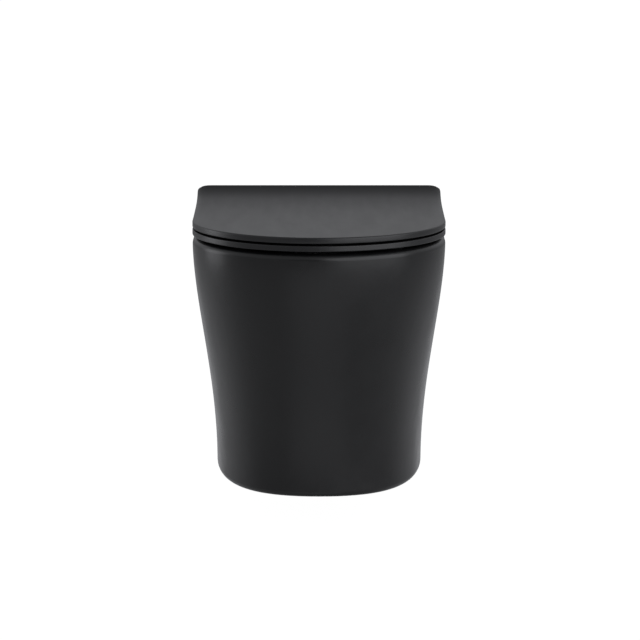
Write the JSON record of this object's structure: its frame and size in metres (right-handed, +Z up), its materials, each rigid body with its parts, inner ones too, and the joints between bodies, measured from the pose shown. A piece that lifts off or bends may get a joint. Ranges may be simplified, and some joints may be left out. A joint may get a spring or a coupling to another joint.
{
  "type": "wall hung toilet",
  "caption": "Wall hung toilet with a skirted rimless pan and a slim soft-close seat and lid whose back edge rises to a shallow crest.",
  "frame": {"origin": "midpoint between the two wall studs, on the wall plane", "axes": "+Z up, +Y into the wall (the front of the pan faces -Y), +X to the right as seen from the front"},
  "size_m": [0.3604, 0.4902, 0.3949],
  "materials": {
    "black_glaze": "satin",
    "seat_plastic": "satin",
    "buffer_rubber": "matte",
    "gasket_rubber": "matte",
    "stainless_steel": "satin",
    "galvanised_steel": "satin",
    "brass": "satin",
    "sleeve_nylon": "matte",
    "hinge_cover_paint": "satin",
    "cap_plastic": "satin",
    "damper_plastic": "satin"
  },
  "bodies": {
    "pan_assembly": {"pan": "black_glaze", "hinge_gasket_left": "gasket_rubber", "hinge_plate_left": "stainless_steel", "hinge_screw_left": "stainless_steel", "expanding_sleeve_left": "sleeve_nylon", "cone_nut_left": "brass", "hinge_post_left": "hinge_cover_paint", "hinge_pin_left": "stainless_steel", "wall_bracket_left": "galvanised_steel", "stud_washer_left": "galvanised_steel", "stud_nut_left": "galvanised_steel", "side_bush_left": "sleeve_nylon", "side_screw_left": "stainless_steel", "side_cap_left": "cap_plastic", "hinge_gasket_right": "gasket_rubber", "hinge_plate_right": "stainless_steel", "hinge_screw_right": "stainless_steel", "expanding_sleeve_right": "sleeve_nylon", "cone_nut_right": "brass", "hinge_post_right": "hinge_cover_paint", "hinge_pin_right": "stainless_steel", "wall_bracket_right": "galvanised_steel", "stud_washer_right": "galvanised_steel", "stud_nut_right": "galvanised_steel", "side_bush_right": "sleeve_nylon", "side_screw_right": "stainless_steel", "side_cap_right": "cap_plastic", "seat_damper_rotor": "damper_plastic", "lid_damper_rotor": "damper_plastic"},
    "seat": {"seat_ring": "seat_plastic", "seat_buffer_front_left": "buffer_rubber", "seat_buffer_front_right": "buffer_rubber", "seat_buffer_rear_left": "buffer_rubber", "seat_buffer_rear_right": "buffer_rubber", "seat_bush": "sleeve_nylon", "seat_damper_housing": "damper_plastic", "seat_damper_cap": "damper_plastic"},
    "lid": {"lid": "seat_plastic", "lid_buffer_front_left": "buffer_rubber", "lid_buffer_front_right": "buffer_rubber", "lid_buffer_rear_left": "buffer_rubber", "lid_buffer_rear_right": "buffer_rubber", "lid_bush": "sleeve_nylon", "lid_damper_housing": "damper_plastic", "lid_damper_cap": "damper_plastic"}
  },
  "joints": [
    {"name": "seat_hinge", "type": "hinge", "parent": "pan_assembly", "child": "seat", "pos_m": [0, -0.044, 0.105], "axis": [-1, 0, 0], "range_deg": [0, 95]},
    {"name": "lid_hinge", "type": "hinge", "parent": "seat", "child": "lid", "pos_m": [0, -0.044, 0.105], "axis": [-1, 0, 0], "range_deg": [0, 95]}
  ]
}
